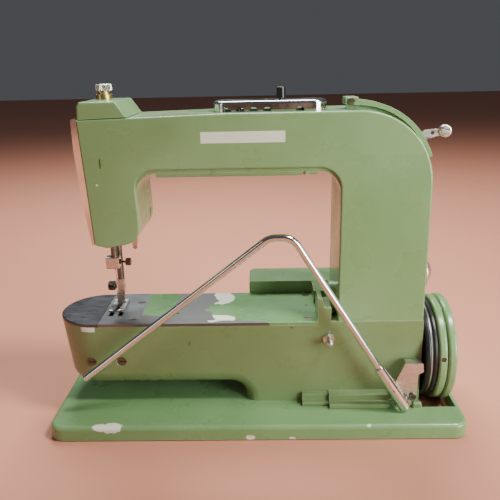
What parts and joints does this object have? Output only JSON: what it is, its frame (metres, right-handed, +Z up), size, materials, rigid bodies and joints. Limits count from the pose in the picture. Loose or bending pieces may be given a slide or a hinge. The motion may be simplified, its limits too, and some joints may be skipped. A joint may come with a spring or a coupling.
{
  "type": "sewing machine",
  "caption": "Portable free-arm sewing machine with an arched body on a flat base, side handwheel, folding knee lever and rear motor housing.",
  "frame": {"origin": "under the middle of the base, on the surface the machine stands on", "axes": "+X along the arm from the needle end to the handwheel, +Y from front to back, +Z up"},
  "size_m": [0.365, 0.165, 0.2968],
  "materials": {
    "green_paint": "satin",
    "base_paint": "satin",
    "inner_paint": "satin",
    "dark_screw": "oily",
    "plated": "polished",
    "ground_steel": "brushed",
    "dark_steel": "brushed",
    "nickel": "satin",
    "brass": "worn",
    "black_rubber": "matt",
    "black_plastic": "gloss",
    "black_enamel": "satin"
  },
  "bodies": {
    "machine_frame": {"base_plate": "base_paint", "base_screws": "dark_screw", "rubber_feet": "black_rubber", "lower_casting": "green_paint", "front_ledge": "green_paint", "bed_cover": "green_paint", "needle_plate": "ground_steel", "table_stud": "nickel", "upper_casting": "green_paint", "front_cover": "green_paint", "rear_cover": "green_paint", "underarm_covers": "green_paint", "face_plate": "plated", "face_screw": "nickel", "head_hood": "green_paint", "tension_cover": "plated", "tension_discs": "ground_steel", "stitch_quadrant": "green_paint", "lower_bushes": "brass", "drive_belt": "black_rubber", "bobbin_case": "ground_steel", "pressure_nuts": "brass", "motor_cover": "green_paint", "motor_body": "black_enamel", "power_inlet": "black_plastic", "cover_screws": "dark_screw", "upper_bushes": "brass", "presser_spring": "ground_steel"},
    "slide_plate": {"slide_plate": "ground_steel"},
    "main_drive": {"lower_shaft": "ground_steel", "lower_pulley": "nickel", "handwheel_rim": "green_paint", "handwheel_tyre": "black_rubber", "handwheel_screw": "dark_screw", "hook_drive_gear": "dark_steel"},
    "upper_drive": {"upper_shaft": "ground_steel", "upper_pulley": "nickel", "needle_crank": "dark_steel"},
    "hook": {"rotary_hook": "ground_steel"},
    "bobbin": {"bobbin": "nickel"},
    "needle_bar": {"needle_bar": "dark_steel", "needle_clamp": "nickel", "clamp_screw": "dark_screw", "needle": "plated"},
    "connecting_rod": {"connecting_rod": "dark_steel"},
    "take_up": {"take_up_lever": "plated"},
    "presser": {"presser_bar": "dark_steel", "presser_foot": "nickel", "foot_screw": "dark_screw"},
    "lifter": {"lifter_lever": "nickel"},
    "pressure_screw": {"pressure_screw": "nickel"},
    "feed_carrier": {"feed_bar": "dark_steel"},
    "feed_dog": {"feed_dog": "dark_steel"},
    "stitch_lever": {"stitch_lever": "nickel"},
    "tension_knob": {"tension_knob": "black_plastic"},
    "motor_rotor": {"motor_rotor": "ground_steel"},
    "winder_wheel": {"winder_wheel": "nickel"},
    "knee_bracket": {"knee_bracket": "nickel"},
    "lever_socket": {"lever_socket": "plated"},
    "knee_rod": {"knee_rod": "plated"}
  },
  "joints": [
    {"name": "slide_plate_slide", "type": "slide", "parent": "machine_frame", "child": "slide_plate", "axis": [-1, 0, 0], "range_m": [0, 0.036]},
    {"name": "handwheel_spin", "type": "hinge", "parent": "machine_frame", "child": "main_drive", "pos_m": [0, -0.0065, 0.0516], "axis": [1, 0, 0], "continuous": true},
    {"name": "upper_shaft_spin", "type": "hinge", "parent": "machine_frame", "child": "upper_drive", "pos_m": [0, -0.0065, 0.244], "axis": [1, 0, 0], "continuous": true},
    {"name": "hook_spin", "type": "hinge", "parent": "machine_frame", "child": "hook", "pos_m": [0, -0.0065, 0.0696], "axis": [1, 0, 0], "continuous": true},
    {"name": "bobbin_spin", "type": "hinge", "parent": "machine_frame", "child": "bobbin", "pos_m": [-0.122, -0.0065, 0.0696], "axis": [1, 0, 0], "continuous": true},
    {"name": "needle_bar_slide", "type": "slide", "parent": "machine_frame", "child": "needle_bar", "axis": [0, 0, 1], "range_m": [-0.026, 0.004]},
    {"name": "connecting_rod_swing", "type": "hinge", "parent": "needle_bar", "child": "connecting_rod", "pos_m": [-0.121, -0.0065, 0.208], "axis": [1, 0, 0], "range_deg": [-30, 6]},
    {"name": "take_up_swing", "type": "hinge", "parent": "machine_frame", "child": "take_up", "pos_m": [-0.1354, -0.022, 0.208], "axis": [1, 0, 0], "range_deg": [-12, 12]},
    {"name": "lifter_turn", "type": "hinge", "parent": "machine_frame", "child": "lifter", "pos_m": [-0.112, 0.0119, 0.178], "axis": [0, -1, 0], "range_deg": [0, 30]},
    {"name": "presser_slide", "type": "slide", "parent": "machine_frame", "child": "presser", "axis": [0, 0, 1], "range_m": [0, 0.006], "deforming": ["presser_spring"]},
    {"name": "pressure_screw_turn", "type": "hinge", "parent": "machine_frame", "child": "pressure_screw", "pos_m": [-0.128, 0.0045, 0.29], "axis": [0, 0, 1], "range_deg": [-180, 180]},
    {"name": "feed_advance", "type": "slide", "parent": "machine_frame", "child": "feed_carrier", "axis": [0, 1, 0], "range_m": [-0.002, 0.002]},
    {"name": "feed_lift", "type": "slide", "parent": "feed_carrier", "child": "feed_dog", "axis": [0, 0, 1], "range_m": [0, 0.0011]},
    {"name": "stitch_lever_turn", "type": "hinge", "parent": "machine_frame", "child": "stitch_lever", "pos_m": [0.0855, -0.0135, 0.2138], "axis": [0, 1, 0], "range_deg": [-34, 4]},
    {"name": "tension_knob_slide", "type": "slide", "parent": "machine_frame", "child": "tension_knob", "axis": [1, 0, 0], "range_m": [-0.0045, 0.0045]},
    {"name": "motor_spin", "type": "hinge", "parent": "machine_frame", "child": "motor_rotor", "pos_m": [0.05, 0.05, 0.055], "axis": [1, 0, 0], "continuous": true},
    {"name": "winder_spin", "type": "hinge", "parent": "machine_frame", "child": "winder_wheel", "pos_m": [0.155, -0.0065, 0.126], "axis": [1, 0, 0], "continuous": true},
    {"name": "knee_press", "type": "hinge", "parent": "machine_frame", "child": "knee_bracket", "pos_m": [0.1384, -0.0538, 0.025], "axis": [0, 1, 0], "range_deg": [0, 6], "stiffness_Nm_per_rad": 2.5, "springref_deg": -6.88},
    {"name": "knee_lever_fold", "type": "hinge", "parent": "knee_bracket", "child": "lever_socket", "pos_m": [0.129, -0.0605, 0.02094], "axis": [0.8453, 0, 0.5342], "range_deg": [0, 90]},
    {"name": "knee_rod_twist", "type": "hinge", "parent": "lever_socket", "child": "knee_rod", "pos_m": [0.10923, -0.0605, 0.05221], "axis": [-0.5342, 0, 0.8453], "range_deg": [0, 60]}
  ],
  "couplings": [
    {"joint": "upper_shaft_spin", "follows": "handwheel_spin", "ratio": 1},
    {"joint": "hook_spin", "follows": "handwheel_spin", "ratio": -2},
    {"joint": "lifter_turn", "follows": "presser_slide", "rad_per_m": 87.256}
  ]
}
